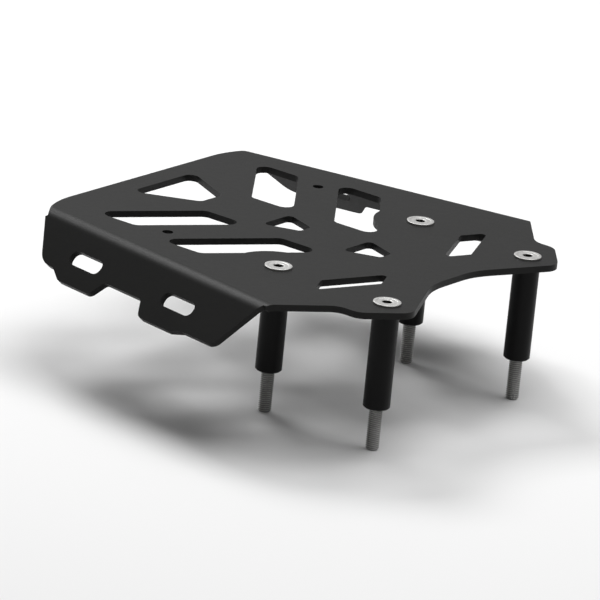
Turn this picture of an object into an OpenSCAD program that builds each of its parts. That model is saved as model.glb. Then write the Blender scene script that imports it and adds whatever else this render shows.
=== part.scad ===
// Luggage rack for the tail of a scooter: one laser-cut plate whose long sides are folded down
// and outwards, held above the bodywork by four round posts and four long countersunk bolts.
// X points forward, Y to the left and Z up. The origin lies between the feet of the four posts.

/* [Mounting pattern] */
// Distance between the rear and the front bolts, along the vehicle
bolt_dx = 80; // [60:1:100]
// Distance between the left and the right bolts
bolt_dy = 140; // [124:1:156]

/* [Plate] */
// Thickness of the sheet
plate_t = 4; // [3:0.5:5]
// Reach of the plate behind the rear bolts
rear_reach = 160; // [145:1:190]
// Width between the sharp corners of the two folds at the rear edge
rear_w = 192; // [180:1:210]
// Angle by which each side turns outwards towards the front
flare = 10; // [8:0.5:13]
// Angle by which the sides are folded down from the flat
fold_angle = 48; // [35:1:60]
// Radius inside the fold
fold_r = 8; // [3:0.5:10]
// Radius of the rear corners beside the fold
rear_corner_r = 12; // [6:1:16]

/* [Front edge] */
// Reach of the fold ahead of the rear bolts
fold_reach = 38; // [30:1:46]
// Width across the square shoulders behind the ears
shoulder_w = 195; // [188:1:202]
// Angle between the slanted front edges and the cross direction
ear_slant = 39.5; // [34:0.5:45]
// Distance from a front bolt to the two sides of its ear
ear_r = 17.7; // [15:0.1:20]
// Radius at the tip of each ear
ear_tip_r = 7; // [4:0.5:10]
// Distance from the front bolts back to the floor of the front bay
bay_depth = 4; // [0:0.5:10]
// Angle between the sides of the front bay and the cross direction
bay_slant = 25.5; // [20:0.5:30]
// Radius between the floor and the sides of the front bay
bay_r = 50; // [30:1:60]
// Radius in the notch between fold and shoulder
notch_r = 12; // [6:1:16]
// Radius at the outer corner of each shoulder
shoulder_r = 4; // [2:0.5:6]

/* [Slanted windows] */
// Angle of the long edges of the windows to the vehicle's length
window_angle = 55; // [50:1:62]
// Strip left between the rear and the front window, along the vehicle
window_web = 31; // [24:1:36]
// Distance from a rear bolt to the long edge of the front window
bolt_web = 25.3; // [22:0.1:27]
// Radius of the round bulge around each rear bolt
bulge_r = 28.5; // [28:0.1:31]
// Distance from the rear edge of the plate to the sharp corner of the rear window
rear_strip = 27; // [22:1:34]
// Distance from the middle line to the rear window
rear_window_in = 22; // [18:0.5:25]
// Distance from the middle line to the far end of the rear window
rear_window_out = 79.5; // [70:0.5:82]
// Distance from the middle line to the front window
front_window_in = 26; // [22:0.5:30]
// Distance from the middle line to the far end of the front window
front_window_out = 88.5; // [82:0.5:91]
// Radius in the corners of the slanted windows
window_r = 6; // [3:0.5:7]
// Diameter of the small hole in the strip between the windows
small_hole_d = 6.6; // [5:0.1:9]
// Distance from the middle line to the small hole
small_hole_y = 73.3; // [60:0.1:80]

/* [Middle windows] */
// Distance from the rear edge of the plate to the rear middle window
middle_strip = 15.3; // [12:0.1:20]
// Half width of the rear middle window at its base
rear_base = 30.6; // [24:0.1:33]
// Half width of the rear middle window at its blunt tip
rear_tip = 10.1; // [7:0.1:12]
// Gap along the vehicle between the rear middle window and the slanted window beside it
rear_gap = 13.2; // [10:0.1:18]
// Radius in the corners of the rear middle window
rear_middle_r = 5; // [3:0.5:6]
// Half width of the two small middle windows at their base
small_base = 14; // [11:0.1:15]
// Half width of the two small middle windows at their blunt tip
small_tip = 5.2; // [4:0.1:6]
// Length of the two small middle windows
small_len = 22.5; // [18:0.5:26]
// Gap along the vehicle between a small middle window and the slanted window behind it
small_gap = 4.2; // [2:0.1:8]
// Radius in the corners of the two small middle windows
small_r = 3; // [2:0.5:3.5]

/* [Front slots] */
// Distance from the front bolts back to the middle of each front slot
slot_back = 36.2; // [32:0.1:42]
// Distance from the middle line to the middle of each front slot
slot_y = 56.8; // [50:0.1:60]
// Length of the long edges of each front slot
slot_long = 45.5; // [36:0.5:50]
// Length of the short edges of each front slot
slot_short = 19; // [14:0.5:22]
// Angle of the edges of each front slot to the vehicle's length
slot_angle = 66.5; // [62:0.5:72]
// Radius in the corners of each front slot
slot_r = 2.5; // [1.5:0.5:3.5]

/* [Folded sides] */
// Slope length of the folded sides at their two lobes, below the bend
side_h = 33; // [31:0.5:38]
// Slope length of the folded sides behind the rear lobe
rear_h = 27; // [25:0.5:29]
// Slope length of the folded sides between the lobes
waist_h = 22.5; // [20:0.5:25]
// Slope length of the folded sides ahead of the front lobe
front_h = 30; // [28:0.5:32]
// Distance along the fold from the rear corner to the rear end of a side
rear_setback = 8.5; // [6:0.5:11]
// Angle by which the rear end of a side is cut off square
rear_cut = 37; // [30:1:40]
// Distance along the fold from the front corner back to the front end of a side
front_setback = 4; // [1:0.5:6]
// Angle by which the front end of a side is cut off square
front_cut = 23; // [12:1:30]
// Distance along the fold from the rear corner to the rear lobe
lobe_start = 39.5; // [37:0.5:42]
// Length of the rear lobe where it meets the waist
lobe_len = 43.5; // [40:0.5:47]
// Length of the waist between the lobes
waist_len = 32.5; // [28:0.5:36]
// Length of the front lobe up to its slanted front
front_lobe_len = 33.5; // [30:0.5:36]
// Run of the gentle slants at the outer ends of the lobes
lobe_ramp = 9.5; // [7:0.5:11]
// Run of the steep slants beside the waist
lobe_rise = 6; // [4:0.5:7]
// Radius at the rear lower corner of a side
rear_side_r = 14; // [6:0.5:16]
// Radius at the front lower corner of a side
front_side_r = 7; // [4:0.5:10]
// Radius at the corners of the lobes
lobe_r = 5; // [2:0.5:6]
// Radius in the hollow corners beside the lobes
hollow_r = 3; // [1:0.5:4]
// Distance along the fold from the rear corner to the middle of the first strap slot
strap_start = 60; // [58:0.5:62]
// Distance between the two strap slots
strap_pitch = 82.5; // [78:0.5:86]
// Length of each strap slot
strap_len = 27; // [20:0.5:30]
// Width of each strap slot
strap_h = 9.2; // [8.8:0.1:11]
// Slope distance from the bend to the middle of the strap slots
strap_z = 16; // [14:0.5:19]
// Radius in the corners of each strap slot
strap_r = 4; // [2:0.5:4]

/* [Posts and bolts] */
// Diameter of the posts
post_d = 16; // [14:0.5:20]
// Length of the posts
post_len = 60; // [50:1:90]
// Chamfers inside and outside at both ends of the posts
post_chamfer = 0.8; // [0.6:0.1:1.2]
// Diameter of the thread of the bolts
bolt_d = 8; // [7:0.5:10]
// Amount by which the shank is thinner than the thread, on the diameter
shank_drop = 0.8; // [0.6:0.1:1.2]
// Diameter of the bolt heads
head_d = 16; // [14:0.5:20]
// Length of the bolts below the plate's top face
bolt_len = 90; // [80:1:120]
// Play between the thread and the bores it is passed through, on the diameter
bore_play = 0.5; // [0.3:0.1:0.8]
// Depth of the cone of each bolt head below the plate's top face
head_sink = 0.5; // [0.2:0.1:0.6]
// Height of the rim of the bolt heads above the cone
head_rim = 0.6; // [0.3:0.1:1]
// Width of the raised ring around the top of the bolt heads
ring_w = 1.6; // [1:0.1:2.4]
// Height of that ring
ring_h = 0.15; // [0.1:0.05:0.25]
// Width across the flats of the hexagon socket
socket_w = 5; // [4:0.5:6]
// Depth of the hexagon socket
socket_depth = 3; // [2:0.1:3.4]
// Chamfer at the thread end of the bolts
bolt_chamfer = 1; // [0.5:0.1:1.5]

/* [Hidden] */
$fn = 64;
// Heights of the plate's two faces above the feet of the posts
plate_z = post_len;
top_z = post_len + plate_t;
// Height where the cone of a bolt head ends, and the height of its countersink
seat_z = top_z - head_sink;
cone = (head_d - bolt_d) / 2;
shank_d = bolt_d - shank_drop;
// Outer radius of the fold, and its centre as seen from the sharp corner of the outer faces
fold_out = fold_r + plate_t;
fold_mid = [-fold_out * tan(fold_angle / 2), -fold_out];
// Length beyond which half a plate doesn't reach
span = rear_w + side_h;
// Places of the bolts and of the edges that follow them
rear_bolt = [-bolt_dx / 2, bolt_dy / 2];
front_bolt = [bolt_dx / 2, bolt_dy / 2];
rear_x = rear_bolt.x - rear_reach;
rear_corner = [rear_x, rear_w / 2];
fold_len = rear_reach + fold_reach;
fold_run_len = fold_len / cos(flare);
// Point where the outer face of the fold meets the slanted front end
fold_front = rear_corner + fold_len * [1, tan(flare)];
bay_x = front_bolt.x - bay_depth;
// The long and short edges of the small slots lean to both sides
slot_mid = [front_bolt.x - slot_back, slot_y];
// Directions of the slanted edges, seen from above with X as zero
ear_dir = ear_slant - 90;
bay_dir = 90 - bay_slant;
// Extra radius that lets the arcs of an outline cross the edges beside them
hair = 0.002;
// Colours of the coated sheet, the posts and the bolts
coat = [0.13, 0.13, 0.13];
tube = [0.07, 0.07, 0.07];
steel = [0.72, 0.72, 0.70];

function heading(a) = [cos(a), sin(a)];
function crossed(u, v) = u.x * v.y - u.y * v.x;
// Point where the line through p in direction a meets the line through q in direction b
function meet(p, a, q, b) = p + heading(a) * crossed(q - p, heading(b)) / crossed(heading(a), heading(b));
function unit(v) = v / norm(v);
// Half of the turn that an outline makes at point b, positive to the left
function half_turn(a, b, c) = atan2(crossed(b - a, c - b), (b - a) * (c - b)) / 2;

// Closed outline through sharp points, listed anticlockwise, with a true arc at each of them.
// Each arc is a hair larger than its radius, so that it crosses the straight edges cleanly.
module rounded(points, radii) {
    n = len(points);
    before = [for (i = [0:n - 1]) points[(i + n - 1) % n]];
    after = [for (i = [0:n - 1]) points[(i + 1) % n]];
    turn = [for (i = [0:n - 1]) half_turn(before[i], points[i], after[i])];
    cut = [for (i = [0:n - 1]) radii[i] * tan(abs(turn[i]))];
    start = [for (i = [0:n - 1]) points[i] + unit(before[i] - points[i]) * cut[i]];
    end = [for (i = [0:n - 1]) points[i] + unit(after[i] - points[i]) * cut[i]];
    middle = [for (i = [0:n - 1]) points[i] + unit(unit(before[i] - points[i])
        + unit(after[i] - points[i])) * radii[i] / cos(turn[i])];
    difference() {
        union() {
            polygon([for (i = [0:n - 1]) each radii[i] > 0 ? [start[i], end[i]] : [points[i]]]);
            for (i = [0:n - 1])
                if (turn[i] > 0 && radii[i] > 0)
                    translate(middle[i]) circle(radii[i] + hair);
        }
        for (i = [0:n - 1])
            if (turn[i] < 0 && radii[i] > 0)
                translate(middle[i]) circle(radii[i] + hair);
    }
}

// Left half of the plate's outline, from the middle of the front edge round to the rear edge
bay_corner = meet([bay_x, 0], 90, front_bolt + ear_r * heading(-bay_slant), bay_dir);
ear_tip = meet(front_bolt + ear_r * heading(-bay_slant), bay_dir,
    front_bolt + ear_r * heading(ear_slant), ear_dir);
shoulder = meet([0, shoulder_w / 2], 0, front_bolt + ear_r * heading(ear_slant), ear_dir);
notch = meet([0, shoulder_w / 2], 0, fold_front, ear_dir);
half_outline = [[bay_x, 0], bay_corner, ear_tip, shoulder, notch, fold_front, rear_corner, [rear_x, 0]];
half_radii = [0, bay_r, ear_tip_r, shoulder_r, notch_r, 0, rear_corner_r, 0];

// Slanted windows, one pair behind the other: their long edges pass the rear bolts at bolt_web
window_run = 1 / tan(window_angle);
front_edge_x = rear_bolt.x - bolt_web / sin(window_angle) + rear_bolt.y * window_run;
window_w = (front_edge_x - rear_window_out * window_run - window_web - rear_x - rear_strip) / 2;
rear_edge_x = front_edge_x - window_w - window_web;
// Places along the middle line where the slanted windows end beside it
rear_window_start = rear_edge_x - window_w - rear_window_in * window_run;
rear_window_end = rear_edge_x - rear_window_in * window_run;
front_window_end = front_edge_x - front_window_in * window_run;

// Window between two slanted edges: edge_x is where its front edge would cross the middle line
module slanted_window(edge_x, inner, outer) {
    rounded([[edge_x - inner * window_run, inner], [edge_x - outer * window_run, outer],
        [edge_x - window_w - outer * window_run, outer], [edge_x - window_w - inner * window_run, inner]],
        [window_r, window_r, window_r, window_r]);
}

// Blunt arrow pointing forward on the middle line
module middle_window(x0, x1, base, tip, r) {
    rounded([[x0, -base], [x1, -tip], [x1, tip], [x0, base]], [r, r, r, r]);
}

module front_slot() {
    long = slot_long / 2 * heading(-slot_angle);
    short = slot_short / 2 * heading(slot_angle);
    translate(slot_mid)
        rounded([long - short, long + short, short - long, -long - short],
            [slot_r, slot_r, slot_r, slot_r]);
}

module side_windows() {
    slanted_window(rear_edge_x, rear_window_in, rear_window_out);
    difference() {
        slanted_window(front_edge_x, front_window_in, front_window_out);
        translate(rear_bolt) circle(bulge_r);
    }
    front_slot();
    translate([rear_edge_x + window_web / 2 - small_hole_y * window_run, small_hole_y])
        circle(d = small_hole_d);
}

module windows() {
    side_windows();
    mirror([0, 1]) side_windows();
    middle_window(rear_x + middle_strip, rear_window_start - rear_gap, rear_base, rear_tip, rear_middle_r);
    for (x = [rear_window_end, front_window_end])
        middle_window(x + small_gap, x + small_gap + small_len, small_base, small_tip, small_r);
}

// Section through the flat, the bend and the slope of a side, with the sharp corner of the outer
// faces at 0. Both legs are turned by half the angle, so that they meet the bend exactly.
module fold_section() {
    half = fold_angle / 2;
    translate(fold_mid) rotate(-half) {
        rotate(half) translate([-span, fold_r]) square([span, plate_t]);
        intersection() {
            rotate(half) difference() {
                circle(fold_out);
                circle(fold_r);
            }
            rotate(half) square([span, span]);
            rotate(-half) translate([-span, 0]) square([span, span]);
        }
        rotate(-half) translate([0, fold_r]) square([side_h + plate_t, plate_t]);
    }
}

// Half planes on both sides of the line through the middle of the fold
module upper_half() {
    translate(fold_mid) rotate(-fold_angle / 2) translate([-span, -span]) square([span, 2 * span]);
}

module lower_half() {
    translate(fold_mid) rotate(-fold_angle / 2) translate([0, -span]) square([span, 2 * span]);
}

// Puts a section drawn across the fold where the left fold runs
module along_fold() {
    translate([rear_corner.x, rear_corner.y, top_z]) rotate([0, 0, flare]) children();
}

module fold_run() {
    translate([-span, 0, 0]) rotate([90, 0, 90]) linear_extrude(fold_run_len + 2 * span) children();
}

// Outline of a folded side: along the fold, and up its slope from the end of the bend
lobe_end = lobe_start + lobe_len;
waist_end = lobe_end + waist_len;
front_lobe_end = waist_end + front_lobe_len;
front_end = fold_run_len - front_setback;
side_points = [
    [rear_setback - fold_out * tan(rear_cut), fold_out],
    [rear_setback + rear_h * tan(rear_cut), -rear_h],
    [lobe_start, -rear_h], [lobe_start + lobe_ramp, -side_h],
    [lobe_end - lobe_rise, -side_h], [lobe_end, -waist_h],
    [waist_end, -waist_h], [waist_end + lobe_rise, -side_h],
    [front_lobe_end, -side_h], [front_lobe_end + lobe_ramp, -front_h],
    [front_end - front_h * tan(front_cut), -front_h],
    [front_end + fold_out * tan(front_cut), fold_out]];
side_radii = [0, rear_side_r, hollow_r, lobe_r, lobe_r, hollow_r,
    hollow_r, lobe_r, lobe_r, hollow_r, front_side_r, 0];

module side_outline() {
    difference() {
        rounded(side_points, side_radii);
        for (s = [strap_start, strap_start + strap_pitch])
            translate([s, -strap_z])
                rounded([[-strap_len, -strap_h] / 2, [strap_len, -strap_h] / 2,
                    [strap_len, strap_h] / 2, [-strap_len, strap_h] / 2],
                    [strap_r, strap_r, strap_r, strap_r]);
    }
}

// The flat and the upper half of the bend, cut by the outline seen from above
module upper_sheet() {
    intersection() {
        along_fold() fold_run() intersection() {
            fold_section();
            upper_half();
        }
        translate([0, 0, plate_z - span]) linear_extrude(2 * span) rounded(half_outline, half_radii);
    }
}

// The lower half of the bend and the slope below it, cut square to the slope
module lower_sheet() {
    along_fold() intersection() {
        fold_run() intersection() {
            fold_section();
            lower_half();
        }
        translate([0, fold_mid.x, fold_mid.y]) rotate([180 - fold_angle, 0, 0])
            linear_extrude(2 * span, center = true) side_outline();
    }
}

// Left half of the folded sheet, up to the middle line
module half_sheet() {
    upper_sheet();
    lower_sheet();
}

module at_bolts() {
    for (p = [rear_bolt, front_bolt])
        for (s = [-1, 1])
            translate([p.x, s * p.y, 0]) children();
}

// Bore for a bolt, with a countersink for its sunk head. The cone of the cut goes on above the plate.
module countersink() {
    translate([0, 0, seat_z - cone]) cylinder(h = 2 * cone, d1 = bolt_d, d2 = 2 * head_d - bolt_d);
    cylinder(h = top_z, d = bolt_d + bore_play);
}

module rack_plate() {
    color(coat) difference() {
        union() {
            half_sheet();
            mirror([0, 1, 0]) half_sheet();
        }
        translate([0, 0, plate_z - plate_t]) linear_extrude(3 * plate_t) windows();
        at_bolts() countersink();
    }
}

module post(p) {
    color(tube) translate([p.x, p.y, 0]) rotate_extrude() polygon([
        [(bolt_d + bore_play) / 2, post_chamfer],
        [(bolt_d + bore_play) / 2 + post_chamfer, 0],
        [post_d / 2 - post_chamfer, 0],
        [post_d / 2, post_chamfer],
        [post_d / 2, post_len - post_chamfer],
        [post_d / 2 - post_chamfer, post_len],
        [(bolt_d + bore_play) / 2 + post_chamfer, post_len],
        [(bolt_d + bore_play) / 2, post_len - post_chamfer]]);
}

// The cone of the head runs down to the thinner shank. The thread starts at the foot of the post.
module bolt(p) {
    color(steel) translate([p.x, p.y, 0]) difference() {
        rotate_extrude() polygon([
            [0, seat_z + head_rim - ring_h],
            [head_d / 2 - ring_w - ring_h, seat_z + head_rim - ring_h],
            [head_d / 2 - ring_w, seat_z + head_rim],
            [head_d / 2 - head_rim / 2, seat_z + head_rim],
            [head_d / 2, seat_z + head_rim / 2],
            [head_d / 2, seat_z],
            [shank_d / 2, seat_z - (head_d - shank_d) / 2],
            [shank_d / 2, 0],
            [bolt_d / 2, 0],
            [bolt_d / 2, top_z + bolt_chamfer - bolt_len],
            [bolt_d / 2 - bolt_chamfer, top_z - bolt_len],
            [0, top_z - bolt_len]]);
        translate([0, 0, seat_z + head_rim - socket_depth])
            cylinder(h = socket_depth + plate_t, d = socket_w / cos(30), $fn = 6);
    }
}

function at(p, side) = [p.x, side * p.y];

rack_plate();
post(at(rear_bolt, -1));  // post_rear_right
post(at(rear_bolt, 1));  // post_rear_left
post(at(front_bolt, -1));  // post_front_right
post(at(front_bolt, 1));  // post_front_left
bolt(at(rear_bolt, -1));  // bolt_rear_right
bolt(at(rear_bolt, 1));  // bolt_rear_left
bolt(at(front_bolt, -1));  // bolt_front_right
bolt(at(front_bolt, 1));  // bolt_front_left
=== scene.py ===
# %% [markdown]
# # A folded sheet-metal luggage rack on four posts
#
# The rack is one laser-cut sheet with two folded sides. It stands on four tubular posts, and a
# long countersunk bolt goes down through each of them. The construction model is already packed
# as a frame, so this lesson starts by loading it and measuring it. Nothing in the frame is moved.
# The lesson gives its pieces finishes, replaces those that need finer forms than a construction
# model has, and sets up a plain studio.

# %% Load the construction model
import math

import bmesh
import bpy
import numpy as np
from mathutils import Matrix, Vector


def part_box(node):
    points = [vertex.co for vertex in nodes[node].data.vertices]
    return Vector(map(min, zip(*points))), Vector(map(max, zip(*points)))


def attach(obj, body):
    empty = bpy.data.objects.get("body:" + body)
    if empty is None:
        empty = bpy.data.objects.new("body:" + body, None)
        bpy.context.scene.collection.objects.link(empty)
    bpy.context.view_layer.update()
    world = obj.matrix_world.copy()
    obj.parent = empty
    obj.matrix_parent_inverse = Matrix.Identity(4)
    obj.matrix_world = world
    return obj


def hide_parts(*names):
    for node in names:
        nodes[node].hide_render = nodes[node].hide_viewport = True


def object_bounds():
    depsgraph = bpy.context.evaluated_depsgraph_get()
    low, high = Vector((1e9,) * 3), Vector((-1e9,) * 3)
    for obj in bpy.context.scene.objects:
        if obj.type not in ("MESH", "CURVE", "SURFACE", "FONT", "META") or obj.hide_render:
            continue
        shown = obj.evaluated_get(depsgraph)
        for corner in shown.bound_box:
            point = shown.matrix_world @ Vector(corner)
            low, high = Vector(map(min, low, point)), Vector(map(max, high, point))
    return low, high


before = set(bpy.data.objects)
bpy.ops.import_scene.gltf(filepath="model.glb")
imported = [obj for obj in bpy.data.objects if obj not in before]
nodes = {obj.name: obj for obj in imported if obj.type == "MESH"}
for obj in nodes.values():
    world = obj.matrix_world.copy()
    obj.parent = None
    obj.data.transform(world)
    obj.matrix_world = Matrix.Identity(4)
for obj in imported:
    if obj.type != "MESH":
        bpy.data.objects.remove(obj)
cad_lo, cad_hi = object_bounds()
MM = 0.001
print("nodes:", ", ".join(sorted(nodes)))
print("size in mm:", [round((b - a) / MM, 1) for a, b in zip(cad_lo, cad_hi)])

# %% [markdown]
# ## Shader maths as plain expressions
#
# A finish is a small network of nodes. Written node by node it is hard to read, so one class wraps
# a socket and lets Python's own operators add the Math nodes. Colours are mixed by their own node,
# because a Math node would turn them grey.

# %% A socket that can be calculated with


class Wire:
    """One output socket of a node. An expression on wires adds Math nodes to the same material."""

    def __init__(self, tree, socket):
        self.tree, self.socket = tree, socket

    def node(self, kind, settings=None, stops=None, out=0, **inputs):
        """Adds a node: its settings come first, then the values or wires of its named sockets."""
        n = self.tree.nodes.new("ShaderNode" + kind)
        for key, value in (settings or {}).items():
            setattr(n, key, value)
        if stops:
            ramp = n.color_ramp.elements
            while len(ramp) < len(stops):
                ramp.new(0.5)
            for e, (position, colour) in zip(ramp, stops):
                e.position, e.color = position, (*colour, 1)
        for key, value in inputs.items():
            name = int(key[1:]) if key[0] == "i" and key[1:].isdigit() else key.replace("_", " ")
            socket = n.inputs[name]
            if isinstance(value, Wire):
                self.tree.links.new(value.socket, socket)
            else:
                socket.default_value = value
        return Wire(self.tree, n.outputs[out])

    def math(self, operation, *values):
        return self.node("Math", {"operation": operation},
                         **{"i%d" % i: v for i, v in enumerate((self, *values))})

    def __add__(self, other): return self.math("ADD", other)
    def __sub__(self, other): return self.math("SUBTRACT", other)
    def __mul__(self, other): return self.math("MULTIPLY", other)
    def __truediv__(self, other): return self.math("DIVIDE", other)
    def __pow__(self, other): return self.math("POWER", other)
    def __rsub__(self, other): return (self * -1) + other
    def __rtruediv__(self, other): return (self ** -1) * other
    __radd__ = __add__
    __rmul__ = __mul__

    def between(self, low, high):
        """0 at low, 1 at high and held at 0 and 1 beyond them."""
        return self.node("MapRange", {"clamp": True}, Value=self, From_Min=low, From_Max=high)

    def noise(self, size, **more):
        """Noise whose spots are about this size, in metres, at this place."""
        return self.node("TexNoise", Vector=self, Scale=1 / size, **more)

    def bump(self, height, strength=1.0):
        """A Bump node for a height in metres."""
        return self.node("Bump", Height=height, Strength=strength, Distance=1.0)

    def colour(self, light, dark):
        """The first colour where this wire is 1, the second where it is 0."""
        return self.node("Mix", {"data_type": "RGBA"}, out=2,
                         i0=self, i6=(*dark, 1), i7=(*light, 1))


def finish(name, **constants):
    """A material with one Principled shader, whose constants are set on its own sockets."""
    m = bpy.data.materials.new(name)
    m.use_nodes = True
    shader = m.node_tree.nodes["Principled BSDF"]
    for key, value in constants.items():
        shader.inputs[key.replace("_", " ")].default_value = value
    place = Wire(m.node_tree, m.node_tree.nodes.new("ShaderNodeTexCoord").outputs["Object"])

    def feed(**wires):
        for key, wire in wires.items():
            m.node_tree.links.new(wire.socket, shader.inputs[key.replace("_", " ")])
    return m, place, feed


print("shader helpers are ready")

# %% [markdown]
# ## The powder coat of the sheet
#
# The sheet has a matt black powder coat with a fine texture. The powder melts into small soft
# beads about 0.4 mm across, with a slower waviness of a few millimetres under them. So the height
# is the sum of two noises, and the tops of the beads are a little smoother than the dips between
# them. Their colour carries painted light and shade: the tops are painted a little paler and the
# dips darker.

# %% Fine-textured powder coat
COAT_BEAD = 0.45 * MM
COAT_WAVE = 5 * MM
COAT_PATCH = 45 * MM
BEAD_HEIGHT = 0.022 * MM
WAVE_HEIGHT = 0.05 * MM
COAT_LIGHT = (0.0135, 0.0135, 0.013)
COAT_DARK = (0.0082, 0.0082, 0.008)

coat, place, feed = finish("powder_coat", Specular_IOR_Level=0.12)
bead = place.noise(COAT_BEAD, Detail=2.0, Roughness=0.55)
wave = place.noise(COAT_WAVE, Detail=1.0)
patch = place.noise(COAT_PATCH, Detail=3.0)
tops = bead.between(0.4, 0.65)
# Painted light and shade: the bead tops are painted paler and the dips darker, and the patch noise
# varies the tone at random.
feed(Base_Color=(tops * 0.5 + patch * 0.5).colour(COAT_LIGHT, COAT_DARK),
     Roughness=0.44 - tops * 0.06 + patch * 0.06,
     Normal=place.bump(bead * BEAD_HEIGHT + wave * WAVE_HEIGHT))
print("beads of", COAT_BEAD / MM, "mm on waves of", COAT_WAVE / MM, "mm")

# %% [markdown]
# ## The black of the posts
#
# The posts are drawn tube, coated in a smoother satin black. Seen close, a thin coat like this
# still has a soft orange peel, and it is a little rougher along the tube than around it.

# %% Satin black
PEEL = 1.6 * MM
PEEL_HEIGHT = 0.025 * MM
STREAK = 0.5 * MM
STREAK_HEIGHT = 0.004 * MM

black, place, feed = finish("satin_black", Specular_IOR_Level=0.12)
peel = place.noise(PEEL, Detail=2.0)
streaks = place.node("Mapping", Vector=place, Scale=(1, 1, 0.05)).noise(STREAK, Detail=2.0)
feed(Base_Color=peel.colour((0.0035, 0.0035, 0.0036), (0.002, 0.002, 0.0021)),
     Roughness=0.36 + streaks * 0.12,
     Normal=place.bump(peel * PEEL_HEIGHT + streaks * STREAK_HEIGHT))
print("orange peel of", PEEL / MM, "mm and streaks of", STREAK / MM, "mm")

# %% [markdown]
# ## The plated steel of the bolts
#
# Bolts like these are cold formed and turned, then zinc plated and tumbled. Their finish is a
# bright satin. Fine lines run around the axis where the head was faced, so their noise is
# one-dimensional and follows the distance along the bolt's outline, which every bolt carries as an
# attribute. A cloudy noise varies the plating. The hexagon socket and the roots of the thread get
# painted shade: their colour is darkened where shade falls in these hollows.

# %% Zinc-plated steel
LINE = 0.16 * MM
LINE_HEIGHT = 0.003 * MM
CLOUD = 2.5 * MM
CLOUD_HEIGHT = 0.005 * MM
ZINC_BRIGHT = (0.6, 0.597, 0.585)
ZINC_DULL_AND_SHADE = (0.03, 0.029, 0.028)

steel, place, feed = finish("plated_steel", Metallic=1.0)
outline = place.node("Attribute", {"attribute_name": "outline"}, out=2)
shade = place.node("Attribute", {"attribute_name": "shade"}, out=2)
lines = place.node("TexNoise", {"noise_dimensions": "1D"}, W=outline, Scale=1 / LINE, Detail=2.0)
cloud = place.noise(CLOUD, Detail=3.0)
# Painted shade: the shade attribute darkens the socket and the thread roots, and the cloud varies
# the plating's tone.
feed(Base_Color=(shade * (cloud * 0.3 + 0.7)).colour(ZINC_BRIGHT, ZINC_DULL_AND_SHADE),
     Roughness=0.37 + lines * 0.1 + cloud * 0.08,
     Normal=place.bump(lines * LINE_HEIGHT + cloud * CLOUD_HEIGHT))
print("turned lines of", LINE / MM, "mm under clouds of", CLOUD / MM, "mm")

# %% [markdown]
# ## The sheet as one closed form
#
# A construction model's mesh is loose triangles. A copy of it is merged first, so that its faces
# share their corners, and small triangles in one plane are joined. Only then can its corners be
# cut and its edges rounded.

# %% Merge a construction mesh
WELD = 0.001 * MM
SAME_PLANE = 0.2


def merged_form(mesh):
    """The points and faces of a mesh, with shared corners and with flat neighbours joined."""
    form = bmesh.new()
    form.from_mesh(mesh)
    bmesh.ops.remove_doubles(form, verts=form.verts, dist=WELD)
    bmesh.ops.dissolve_limit(form, angle_limit=math.radians(SAME_PLANE),
                             verts=form.verts, edges=form.edges)
    points = [v.co[:] for v in form.verts]
    faces = [[v.index for v in f.verts] for f in form.faces]
    form.free()
    return points, faces


whole_sheet = merged_form(nodes["rack_plate"].data)
print("rack_plate:", len(whole_sheet[1]), "faces when merged")

# %% [markdown]
# ## Rounder corners
#
# The blank's corners are rounder than the construction model draws them. At the rear, the edge
# leaves its straight line well before the bend, on an arc of 60 mm. At the front, the tips of the
# ears have 11 mm and the shoulders behind them 10 mm. A Boolean takes these corners off with
# prisms, each a sector of a ring whose inner arc is the new edge. A hair less radius lets each arc
# cross the straight edges beside it. The rear arc stops on the bend, where it leaves a step of
# about 1.5 mm. An ear has two straight sides at the same distance from its bolt, so its arcs are
# placed from the bolt.

# %% Prisms for the corners
REAR_ARC = 60 * MM
REAR_ARC_Y = 68.5 * MM
REAR_ARC_END = 148
TIP_ARC = 11 * MM
SHOULDER_ARC = 10 * MM
SHOULDER_Y = 97.5 * MM
EAR_SIDE = 17.7 * MM
BAY_WAY, EDGE_WAY = -25.5, 39.5
HAIR = 0.002 * MM
PAST = 10 * MM
sheet_lo, sheet_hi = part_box("rack_plate")


def ring_sector(middle, radius, start, end, steps=25, depth=8 * MM):
    """Points and faces of a prism. Its inner wall is an arc around the middle, from one angle to
    another in degrees, and its outer wall is the same arc with a radius that is larger by depth."""
    angle = np.radians(np.linspace(start, end, steps))
    way = np.stack([np.cos(angle), np.sin(angle)], -1)
    rings = [np.column_stack([np.array(middle) + way * r, np.full(steps, z)])
             for z in (sheet_lo.z - PAST, sheet_hi.z + PAST) for r in (radius, radius + depth)]
    i = np.arange(steps - 1)
    walls = [np.stack([a + i, a + i + 1, b + i + 1, b + i], -1)
             for a, b in ((steps, 0), (2 * steps, 3 * steps), (0, 2 * steps), (3 * steps, steps))]
    caps = [[row, steps + row, 3 * steps + row, 2 * steps + row] for row in (0, steps - 1)]
    return np.concatenate(rings), np.concatenate(walls).tolist() + caps


def heading(degrees):
    """The unit vector of a direction, seen from above."""
    return math.cos(math.radians(degrees)), math.sin(math.radians(degrees))


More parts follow.
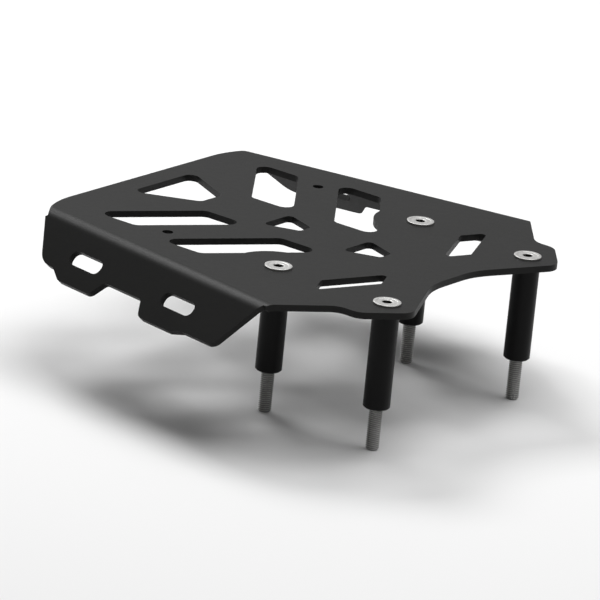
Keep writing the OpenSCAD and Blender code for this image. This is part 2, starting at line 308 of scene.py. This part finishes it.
front = (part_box("bolt_front_left")[0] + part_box("bolt_front_left")[1]) / 2
tip_gap = (EAR_SIDE - TIP_ARC) / heading((EDGE_WAY - BAY_WAY) / 2)[0]
tip_way = heading((EDGE_WAY + BAY_WAY) / 2)
tip = (front.x + tip_gap * tip_way[0], front.y + tip_gap * tip_way[1])
edge_way = heading(EDGE_WAY)
shoulder_y = SHOULDER_Y - SHOULDER_ARC
shoulder_gap = EAR_SIDE - SHOULDER_ARC
shoulder_x = front.x + (shoulder_gap - (shoulder_y - front.y) * edge_way[1]) / edge_way[0]
corner_arcs = [((sheet_lo.x + REAR_ARC, REAR_ARC_Y), REAR_ARC, 180, REAR_ARC_END),
               (tip, TIP_ARC, BAY_WAY, EDGE_WAY),
               ((shoulder_x, shoulder_y), SHOULDER_ARC, EDGE_WAY, 90)]
prisms = [ring_sector(middle, radius - HAIR, start, end)
          for middle, radius, start, end in corner_arcs]
prisms += [(points * (1, -1, 1), faces) for points, faces in prisms]
print("corner prisms:", len(prisms))

# %% Take the corners off


def plain_object(name, points, faces):
    """A linked object with a mesh of these points and faces, whose faces all point outwards."""
    mesh = bpy.data.meshes.new(name)
    mesh.from_pydata(points, [], faces)
    form = bmesh.new()
    form.from_mesh(mesh)
    bmesh.ops.recalc_face_normals(form, faces=form.faces)
    form.to_mesh(mesh)
    form.free()
    o = bpy.data.objects.new(name, mesh)
    bpy.context.collection.objects.link(o)
    return o


blank = plain_object("blank", *whole_sheet)
starts = np.cumsum([0] + [len(points) for points, _ in prisms])
knife_faces = [[v + start for v in face]
               for (_, faces), start in zip(prisms, starts) for face in faces]
knives = plain_object("knives", np.concatenate([points for points, _ in prisms]), knife_faces)
corners_off = blank.modifiers.new("corners", "BOOLEAN")
corners_off.operation, corners_off.solver, corners_off.object = "DIFFERENCE", "EXACT", knives
cut_blank = blank.evaluated_get(bpy.context.evaluated_depsgraph_get())
form_points, form_faces = merged_form(bpy.data.meshes.new_from_object(cut_blank))
for o in (blank, knives):
    bpy.data.objects.remove(o)
print("sheet after the cuts:", len(form_points), "points")

# %% [markdown]
# ## Broken edges
#
# A laser leaves sharp edges. They are deburred before coating, and the coat rounds them further,
# so that each edge catches a thin line of light. A Bevel rounds every edge that turns by more than
# 50 degrees, which leaves the bend and the countersinks alone, and Weighted Normal keeps the flats
# flat.

# %% A piece that stands for a node


def piece(name, points, faces, node, material):
    """A smooth-shaded object at the origin, which replaces a node and rides with the rack."""
    mesh = bpy.data.meshes.new(name)
    mesh.from_pydata(points, [], faces)
    mesh.materials.append(material)
    mesh.shade_smooth()
    o = bpy.data.objects.new(name, mesh)
    bpy.context.collection.objects.link(o)
    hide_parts(node)
    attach(o, "root")
    return o


print("pieces ride on root")

# %% Round the edges of the sheet
EDGE_R = 0.3 * MM
ROUNDED_ABOVE = 50
CREASED_ABOVE = 30

sheet = piece("coated_sheet", form_points, form_faces, "rack_plate", coat)
edges = sheet.modifiers.new("broken edges", "BEVEL")
edges.width, edges.segments, edges.loop_slide = EDGE_R, 3, False
edges.limit_method, edges.angle_limit = "ANGLE", math.radians(ROUNDED_ABOVE)
sheet.data.set_sharp_from_angle(angle=math.radians(CREASED_ABOVE))
normals = sheet.modifiers.new("flat faces", "WEIGHTED_NORMAL")
normals.keep_sharp = True
print("sheet:", len(sheet.data.polygons), "faces before the edges are rounded")

# %% [markdown]
# ## The bolts
#
# Each is a long M8 countersunk bolt with a hexagon socket. Its shape is nearly a lathe's: rings of
# points around an axis, from the middle of the socket over the head and down to the end of the
# thread. Two things aren't round. In the socket, the rings are hexagons, which a cone opens out
# into a circle at the mouth. In the thread, the radius depends on the height and the angle
# together: it is the same along a helix that climbs by one pitch a turn.

# %% Sizes of a bolt
PITCH = 1.25 * MM
THREAD_R = 4.0 * MM
THREAD_DEPTH = 0.72 * MM
HEAD_R = 8.35 * MM
HEAD_PROUD = 1.0 * MM
ANGLES = 72
bolt_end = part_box("bolt_rear_left")[0].z
sheet_top = sheet_hi.z
bolt_top = sheet_top + HEAD_PROUD
turn = np.arange(ANGLES) / ANGLES * 2 * math.pi
print("bolt from", round(bolt_top / MM, 2), "to", round(bolt_end / MM, 2), "mm")

# %% Outline of the head and shank


def arc(middle, radius, start, end, steps):
    """Points of a circle's arc in the (r, z) plane, from one angle to another, in degrees."""
    a = np.radians(np.linspace(start, end, steps))
    return np.stack([middle[0] + radius * np.cos(a), middle[1] + radius * np.sin(a)], -1)


HEX_CORNER = 5 * MM / math.sqrt(3)
SOCKET_DEPTH = 3 * MM
# SOCKET_SHADE and ROOT_SHADE set the painted shade of the socket and of the thread roots.
SOCKET_SHADE = 0.2 * MM
SOCKET_REACH = 3.1 * MM
ROOT_SHADE = 0.55
RING_R = 6.4 * MM
RING_H = 0.15 * MM
RING_EDGE = 0.08 * MM
HEAD_EDGE = 0.4 * MM
SEAT_EDGE = 0.15 * MM
NECK_R = 0.8 * MM
SEAT_SINK = 0.15 * MM
SHANK_R = 3.6 * MM
face_z = bolt_top - RING_H
floor_z = bolt_top - SOCKET_DEPTH
seat_z = sheet_top - SEAT_SINK
cone_end = seat_z - (HEAD_R - SHANK_R)

# Rows of r, z and a share: 1 where the ring is a hexagon and 0 where it is a circle.
socket = np.array([[1.9 * MM, floor_z - 0.25 * MM, 0.0], [2.3 * MM, floor_z, 0.3],
                   [HEX_CORNER, floor_z, 1.0], [HEX_CORNER, face_z - 0.45 * MM, 1.0],
                   [HEX_CORNER + 0.02 * MM, face_z - 0.28 * MM, 0.75],
                   [HEX_CORNER + 0.2 * MM, face_z - 0.06 * MM, 0.0],
                   [HEX_CORNER + 0.3 * MM, face_z, 0.0]])
head = np.concatenate([
    [[4.2 * MM, face_z], [5.6 * MM, face_z], [RING_R - 0.25 * MM, face_z]],
    arc((RING_R, face_z + RING_H - RING_EDGE), RING_EDGE, 170, 90, 4),
    [[7.2 * MM, bolt_top]],
    arc((HEAD_R - HEAD_EDGE, bolt_top - HEAD_EDGE), HEAD_EDGE, 90, 0, 7),
    arc((HEAD_R - SEAT_EDGE, seat_z), SEAT_EDGE, 0, -45, 3),
    arc((SHANK_R + NECK_R, cone_end - 0.33 * MM), NECK_R, 135, 180, 5),
    [[SHANK_R, z * MM] for z in (45, 30, 15, 3, 1.5)]])
solid = np.concatenate([socket, np.column_stack([head, np.zeros(len(head))])])
print("head and shank:", len(solid), "rings")

# %% [markdown]
# ## The thread
#
# A metric thread has flanks at 60 degrees, with narrow flats at the crests and wider, rounded
# roots. The phase says where a point lies between two crests. It grows with the height and falls
# with the angle, so a crest is a helix. The depth fades in where the rolled thread starts, and a
# cone cuts the crests at the end.

# %% Radius of the thread
STEPS = 14
heights = np.linspace(1.0 * MM, bolt_end, int((1.0 * MM - bolt_end) / PITCH * STEPS) + 1)[:, None]


def thread_radius(z, angle):
    """Major radius less the depth, times a trapezium wave of the phase with softened corners. The
    wave is 0 over an eighth of a pitch at the crest and 1 over a quarter at the root."""
    phase = np.mod(z / PITCH - angle / (2 * math.pi), 1.0)
    wave = np.clip((np.abs(phase - 0.5) - 1 / 16) / (1 / 2 - 1 / 8 - 1 / 16), 0, 1)
    wave = wave * wave * (3 - 2 * wave) * 0.35 + wave * 0.65
    started = np.clip((0.6 * MM - z) / PITCH, 0, 1)
    cut = z - bolt_end + THREAD_R - 1.0 * MM
    radius = np.minimum(THREAD_R - THREAD_DEPTH * wave, cut)
    return SHANK_R + (radius - SHANK_R) * started, wave * started


thread_r, thread_wave = thread_radius(heights, turn)
print("thread:", len(heights), "rings,", round((0 - bolt_end) / PITCH, 1), "turns")

# %% [markdown]
# ## From rings to a closed surface
#
# The rings become one grid with a pole at each end. The outline's length is stored at every
# point for the turned lines, and a painted shade that darkens the socket and the roots of the
# thread. The four bolts are the same arrays, each moved to its node's place, with the thread and
# the socket turned by another angle as on real bolts.

# %% Build the four bolts


def ring_faces(rows, columns):
    """Quads between neighbouring rings, and a fan of triangles at both ends."""
    i, j = np.meshgrid(np.arange(rows - 1), np.arange(columns), indexing="ij")
    a, b = i * columns + j, i * columns + (j + 1) % columns
    quads = np.stack([a, a + columns, b + columns, b], -1).reshape(-1, 4)
    j = np.arange(columns)
    last = (rows - 1) * columns
    first_fan = np.stack([np.full(columns, rows * columns), j, (j + 1) % columns], -1)
    last_fan = np.stack([np.full(columns, rows * columns + 1),
                         last + (j + 1) % columns, last + j], -1)
    return quads.tolist() + first_fan.tolist() + last_fan.tolist()


hexagon = math.cos(math.pi / 6) / np.cos(np.mod(turn, math.pi / 3) - math.pi / 6)
solid_r = solid[:, :1] * (1 - solid[:, 2:] + solid[:, 2:] * hexagon)
radius = np.concatenate([solid_r, thread_r])
height = np.concatenate([solid[:, 1], heights[:, 0]])[:, None] + 0 * turn
depth = face_z - solid[:, 1:2]
in_socket = (solid[:, :1] < SOCKET_REACH) * (depth < face_z - floor_z + 1 * MM)
# Painted shade: the socket darkens below its mouth, and the roots of the thread are painted darker.
dark = np.concatenate([np.clip(depth / SOCKET_SHADE, 0, 1) * in_socket + 0 * turn,
                       ROOT_SHADE * thread_wave])
outline_step = np.hypot(np.diff(radius[:, 0]), np.diff(height[:, 0]))
length = np.concatenate([[0], np.cumsum(outline_step)])[:, None] + 0 * turn
bolt_faces = ring_faces(*radius.shape)
FIRST_SPIN, SPIN_STEP = 17, 41

for k, end in enumerate(("rear_right", "rear_left", "front_right", "front_left")):
    node = "bolt_" + end
    middle = (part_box(node)[0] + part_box(node)[1]) / 2
    spin = turn + math.radians(FIRST_SPIN + SPIN_STEP * k)
    points = np.stack([middle.x + radius * np.cos(spin),
                       middle.y + radius * np.sin(spin), height], -1)
    poles = [[middle.x, middle.y, floor_z - 0.9 * MM], [middle.x, middle.y, bolt_end]]
    bolt = piece("countersunk_" + node, np.concatenate([points.reshape(-1, 3), poles]), bolt_faces,
                 node, steel)
    for key, values, ends in (("outline", length, (0, length.max())),
                              ("shade", 1 - dark, (0.2, 1))):
        store = bolt.data.attributes.new(key, "FLOAT", "POINT")
        store.data.foreach_set("value", np.concatenate([values.ravel(), ends]).astype(np.float32))
    bolt.data.set_sharp_from_angle(angle=math.radians(32))
print("each bolt:", len(bolt_faces), "faces")

# %% [markdown]
# ## The posts
#
# The construction model's posts already have the real form: a plain tube with a small chamfer
# inside and outside at both ends. They keep their meshes and get the satin black. The hidden nodes
# get their finishes too, so that no node is left bare.

# %% Finish every node
for name, o in nodes.items():
    o.data.materials.clear()
    kind = name.split("_")[0]
    o.data.materials.append({"rack": coat, "post": black, "bolt": steel}[kind])
print("finished", len(nodes), "nodes")

# %% [markdown]
# ## A plain studio
#
# The floor is a large pale square under the ends of the bolts. The world is an even white, which
# fills the shadows. Three softboxes light the rack. A large one overhead gives the bolt heads
# their light. A smaller one high up behind, on the left, lies as a pale band along the near bend.
# A low, wide one straight behind, seen from the camera, glances off the flat of the sheet. The
# folded side that faces the camera stays dark.

# %% Floor and world
FLOOR_SIZE = 30.0
WORLD = 0.2

half = FLOOR_SIZE / 2
ground_mesh = bpy.data.meshes.new("floor")
floor_plan = ((-half, -half), (half, -half), (half, half), (-half, half))
ground_mesh.from_pydata([(x, y, cad_lo.z) for x, y in floor_plan], [], [(0, 1, 2, 3)])
floor = bpy.data.objects.new("floor", ground_mesh)
bpy.context.collection.objects.link(floor)
ground = finish("pale_floor", Base_Color=(0.8, 0.8, 0.8, 1), Roughness=0.9,
                Specular_IOR_Level=0.0)[0]
ground_mesh.materials.append(ground)

world = bpy.data.worlds.new("studio")
bpy.context.scene.world = world
world.use_nodes = True
world.node_tree.nodes["Background"].inputs["Color"].default_value = (1, 1, 1, 1)
world.node_tree.nodes["Background"].inputs["Strength"].default_value = WORLD
print("floor at", round(cad_lo.z / MM, 1), "mm")

# %% Softboxes


def softbox(name, azimuth, elevation, distance, size, power, aim=(-0.07, 0, 0.03)):
    """A rectangular lamp that faces a point near the middle of the rack."""
    light = bpy.data.lights.new(name, "AREA")
    light.shape, light.size, light.size_y, light.energy = "RECTANGLE", size[0], size[1], power
    o = bpy.data.objects.new(name, light)
    a, e = math.radians(azimuth), math.radians(elevation)
    way = Vector((math.cos(a) * math.cos(e), math.sin(a) * math.cos(e), math.sin(e)))
    o.location = Vector(aim) + way * distance
    o.rotation_euler = way.to_track_quat("Z", "Y").to_euler()
    bpy.context.collection.objects.link(o)
    return o


# Name, azimuth and elevation in degrees, distance, size in metres, power in watts
softboxes = [softbox("overhead", 60, 78, 2.2, (1.8, 1.8), 40),
             softbox("rear_left", 159, 50, 2.2, (0.9, 0.7), 27),
             softbox("backdrop", 126, 16, 3.0, (3.6, 1.4), 7.5)]
print("softboxes:", ", ".join(o.name for o in softboxes))

# %% [markdown]
# ## The camera
#
# The camera looks at the rack from its front right, from far away with a long lens, as in the
# catalogue picture of such a part. Its place and its roll are fixed. It is aimed at the middle
# of what it sees of the rack, and the lens is as long as the rack's width in the picture allows.

# %% Aim the camera
SENSOR = 36.0
FILL = 0.86
eye = Vector((1.8978, -2.7178, 1.1431))
eye_up = Vector((-0.26678, 0.19862, 0.94307))
corners = np.concatenate([np.array([v.co[:] for v in o.data.vertices]) for o in nodes.values()])


def axes(towards):
    """Camera axes as rows: right, up and back, for a camera at the eye that looks at a point."""
    back = (eye - Vector(towards)).normalized()
    right = eye_up.cross(back).normalized()
    return np.array([right, back.cross(right), back])


target = corners.mean(0)
for _ in range(4):
    view = axes(target)
    seen = (corners - np.array(eye)) @ view.T
    seen = seen[:, :2] / -seen[:, 2:]
    middle = (seen.min(0) + seen.max(0)) / 2
    reach = (seen.max(0) - seen.min(0)).max()
    distance = (np.array(eye) - target) @ view[2]
    target = target + (middle[0] * view[0] + middle[1] * view[1]) * distance

camera_data = bpy.data.cameras.new("camera")
camera_data.sensor_width = SENSOR
camera_data.lens = SENSOR / reach * FILL
camera_data.clip_end = 100
camera = bpy.data.objects.new("camera", camera_data)
camera.matrix_world = Matrix.Translation(eye) @ Matrix(axes(target).T.tolist()).to_4x4()
bpy.context.collection.objects.link(camera)
bpy.context.scene.camera = camera
print("lens", round(camera_data.lens, 1), "mm, aimed at", target.round(4))

# %% [markdown]
# ## The colour view
#
# The Standard view keeps the colours as they are written.

# %% Set the view transform
bpy.context.scene.view_settings.view_transform = "Standard"
